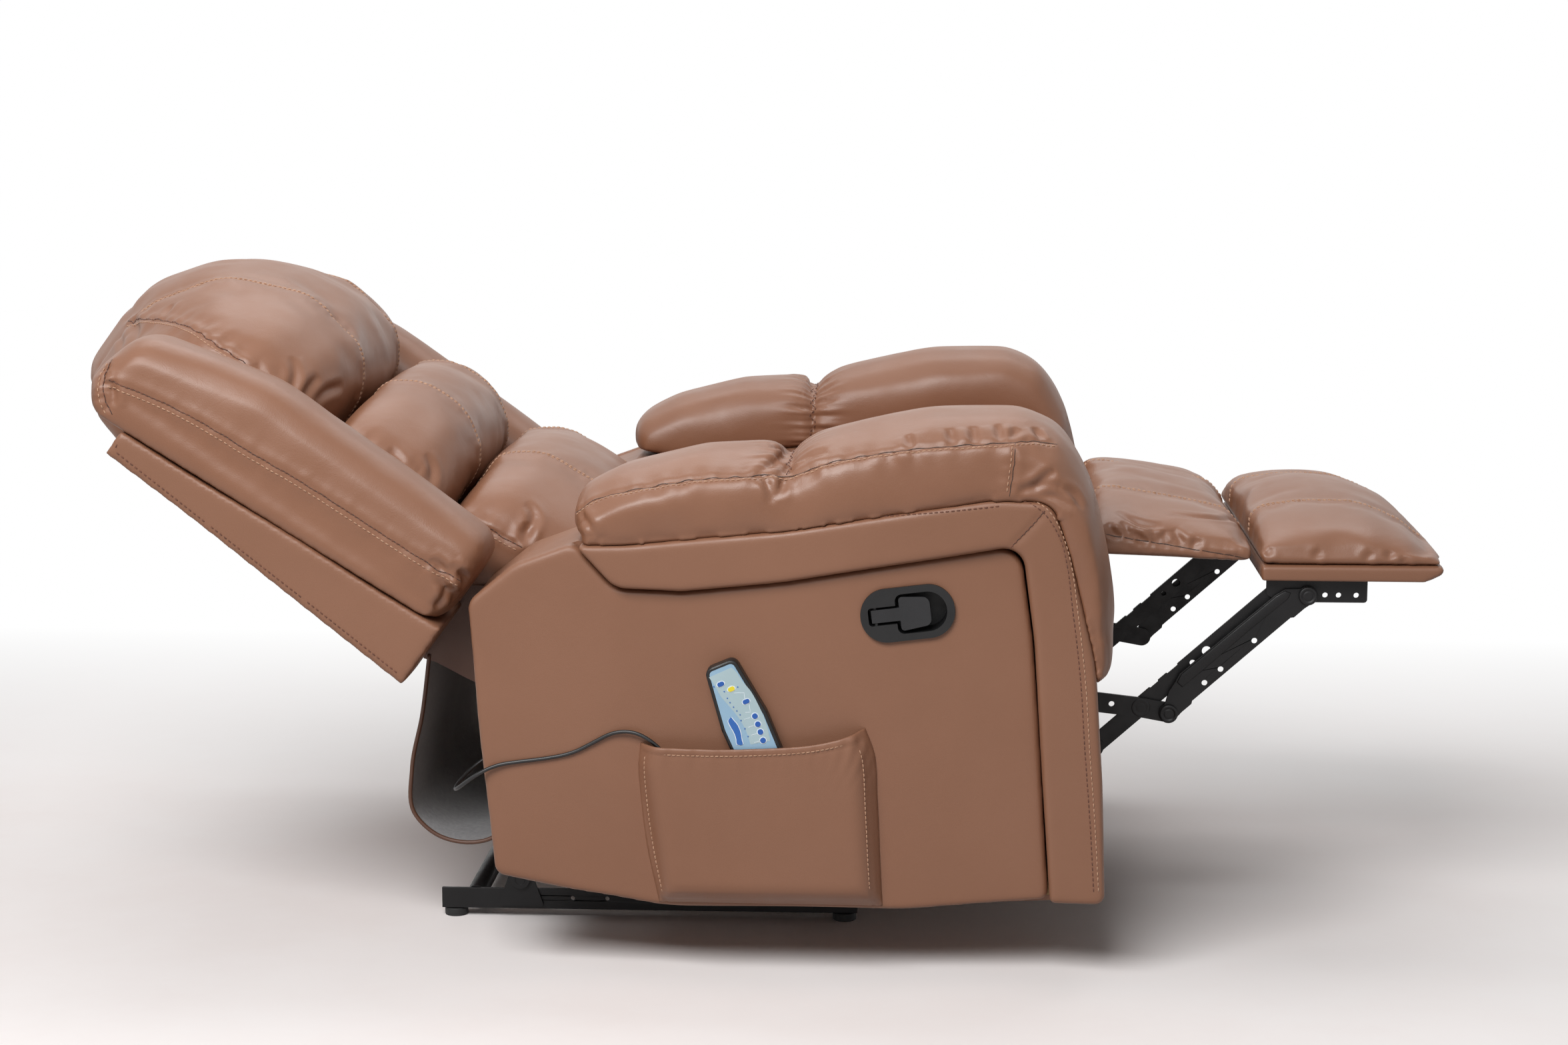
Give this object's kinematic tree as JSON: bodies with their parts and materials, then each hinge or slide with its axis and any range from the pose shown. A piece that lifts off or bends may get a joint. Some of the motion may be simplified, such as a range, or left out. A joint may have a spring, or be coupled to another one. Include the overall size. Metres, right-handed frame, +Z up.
{
  "type": "reflexology chair",
  "caption": "Padded leather-look recliner with massage handset, lying fully back: folding footrest on bar linkage, reclining back, side release lever and pocket",
  "frame": {"origin": "on the floor, below the middle of the chair's outline as stored, fully reclined", "axes": "+X the way the sitter faces, +Y the sitter's left, +Z up"},
  "size_m": [1.6862, 0.9133, 0.8067],
  "materials": {
    "leather": "soft sheen",
    "padded_leather": "soft sheen over foam",
    "wood": "raw board",
    "black_steel": "semi-gloss",
    "black_plastic": "satin",
    "webbing": "woven",
    "rubber": "matte",
    "handset_blue": "satin",
    "button_blue": "matte",
    "button_yellow": "matte",
    "cord": "matte"
  },
  "bodies": {
    "base": {"base_rails": "black_steel", "base_cross_tubes": "black_steel", "base_risers": "black_steel", "glide_feet": "rubber"},
    "front_swing": {"front_swing_links": "black_steel"},
    "rear_swing": {"rear_swing_links": "black_steel"},
    "chair_body": {"side_plates": "black_steel", "body_pins": "black_steel", "seat_frame": "wood", "seat_webbing": "webbing", "seat_cushion": "padded_leather", "seat_motors": "black_plastic", "rear_board": "wood", "control_box": "black_plastic", "arm_frame_left": "wood", "arm_frame_right": "wood", "arm_skin_left": "leather", "arm_skin_right": "leather", "side_panel_left": "leather", "side_panel_right": "leather", "arm_band_left": "leather", "arm_band_right": "leather", "arm_pad_left": "padded_leather", "arm_pad_right": "padded_leather", "handle_bezel": "black_plastic", "release_cable": "cord", "side_pocket": "leather", "handset_cord": "cord", "calf_pad": "padded_leather", "rear_skirt": "leather"},
    "release_lever": {"release_lever": "black_plastic"},
    "handset": {"handset_shell": "black_plastic", "handset_face": "handset_blue"},
    "backrest": {"back_shell": "leather", "back_frame": "wood", "back_wing_left": "padded_leather", "back_wing_right": "padded_leather", "low_cushion": "padded_leather", "mid_cushion": "padded_leather", "head_cushion": "padded_leather", "back_brackets": "black_steel", "back_motors": "black_plastic"},
    "footrest": {"footrest_board": "wood", "footrest_pad": "padded_leather", "footrest_brackets": "black_steel"},
    "lift_links": {"lift_links": "black_steel", "lift_cross_tube": "black_steel"},
    "control_links": {"control_links": "black_steel"},
    "rear_bars": {"rear_bars": "black_steel"},
    "front_bars": {"front_bars": "black_steel"},
    "mode_button_1": {"mode_button_1": "button_blue"},
    "mode_button_2": {"mode_button_2": "button_yellow"},
    "mode_button_3": {"mode_button_3": "button_blue"},
    "zone_button_1": {"zone_button_1": "button_blue"},
    "zone_button_2": {"zone_button_2": "button_blue"},
    "zone_button_3": {"zone_button_3": "button_blue"},
    "zone_button_4": {"zone_button_4": "button_blue"}
  },
  "joints": [
    {"name": "front_swing_turn", "type": "hinge", "parent": "base", "child": "front_swing", "pos_m": [0.06, 0, 0.05], "axis": [0, 1, 0], "range_deg": [-47.5, 0]},
    {"name": "rear_swing_turn", "type": "hinge", "parent": "base", "child": "rear_swing", "pos_m": [-0.275, 0, 0.05], "axis": [0, 1, 0], "range_deg": [-47.5, 0]},
    {"name": "body_glide", "type": "hinge", "parent": "front_swing", "child": "chair_body", "pos_m": [0.11639, 0, 0.17814], "axis": [0, 1, 0], "range_deg": [0, 47.5]},
    {"name": "back_recline", "type": "hinge", "parent": "chair_body", "child": "backrest", "pos_m": [-0.205, 0, 0.395], "axis": [0, 1, 0], "range_deg": [0, 38], "deforming": ["rear_skirt"]},
    {"name": "footrest_fold", "type": "hinge", "parent": "chair_body", "child": "footrest", "pos_m": [0.452, 0, 0.448], "axis": [0, 1, 0], "range_deg": [0, 85], "deforming": ["calf_pad"]},
    {"name": "lift_fold", "type": "hinge", "parent": "chair_body", "child": "lift_links", "pos_m": [0.289, 0, 0.302], "axis": [0, 1, 0], "range_deg": [0, 85]},
    {"name": "control_fold", "type": "hinge", "parent": "chair_body", "child": "control_links", "pos_m": [0.23313, 0, 0.25196], "axis": [0, 1, 0], "range_deg": [0, 85]},
    {"name": "rear_bar_fold", "type": "hinge", "parent": "lift_links", "child": "rear_bars", "pos_m": [0.484, 0, 0.28], "axis": [0, 1, 0], "range_deg": [-85, 0]},
    {"name": "front_bar_fold", "type": "hinge", "parent": "lift_links", "child": "front_bars", "pos_m": [0.517, 0, 0.274], "axis": [0, 1, 0], "range_deg": [-85, 0]},
    {"name": "release_pull", "type": "hinge", "parent": "chair_body", "child": "release_lever", "pos_m": [0.16709, -0.435, 0.42739], "axis": [0.1219, 0, -0.9925], "range_deg": [0, 30], "stiffness_Nm_per_rad": 0.8, "springref_deg": -17.19},
    {"name": "handset_lift", "type": "slide", "parent": "chair_body", "child": "handset", "axis": [-0.3907, 0, 0.9205], "range_m": [0, 0.08]},
    {"name": "mode_button_1_press", "type": "slide", "parent": "handset", "child": "mode_button_1", "axis": [0, 1, 0], "range_m": [0, 0.0008], "stiffness_N_per_m": 300, "springref_m": -0.002},
    {"name": "mode_button_2_press", "type": "slide", "parent": "handset", "child": "mode_button_2", "axis": [0, 1, 0], "range_m": [0, 0.0008], "stiffness_N_per_m": 300, "springref_m": -0.002},
    {"name": "mode_button_3_press", "type": "slide", "parent": "handset", "child": "mode_button_3", "axis": [0, 1, 0], "range_m": [0, 0.0008], "stiffness_N_per_m": 300, "springref_m": -0.002},
    {"name": "zone_button_1_press", "type": "slide", "parent": "handset", "child": "zone_button_1", "axis": [0, 1, 0], "range_m": [0, 0.0008], "stiffness_N_per_m": 300, "springref_m": -0.002},
    {"name": "zone_button_2_press", "type": "slide", "parent": "handset", "child": "zone_button_2", "axis": [0, 1, 0], "range_m": [0, 0.0008], "stiffness_N_per_m": 300, "springref_m": -0.002},
    {"name": "zone_button_3_press", "type": "slide", "parent": "handset", "child": "zone_button_3", "axis": [0, 1, 0], "range_m": [0, 0.0008], "stiffness_N_per_m": 300, "springref_m": -0.002},
    {"name": "zone_button_4_press", "type": "slide", "parent": "handset", "child": "zone_button_4", "axis": [0, 1, 0], "range_m": [0, 0.0008], "stiffness_N_per_m": 300, "springref_m": -0.002}
  ],
  "couplings": [
    {"joint": "front_swing_turn", "follows": "back_recline", "ratio": -1.25},
    {"joint": "rear_swing_turn", "follows": "back_recline", "ratio": -1.25},
    {"joint": "body_glide", "follows": "back_recline", "ratio": 1.25},
    {"joint": "lift_fold", "follows": "footrest_fold", "ratio": 1},
    {"joint": "control_fold", "follows": "footrest_fold", "ratio": 1},
    {"joint": "rear_bar_fold", "follows": "footrest_fold", "ratio": -1},
    {"joint": "front_bar_fold", "follows": "footrest_fold", "ratio": -1}
  ]
}
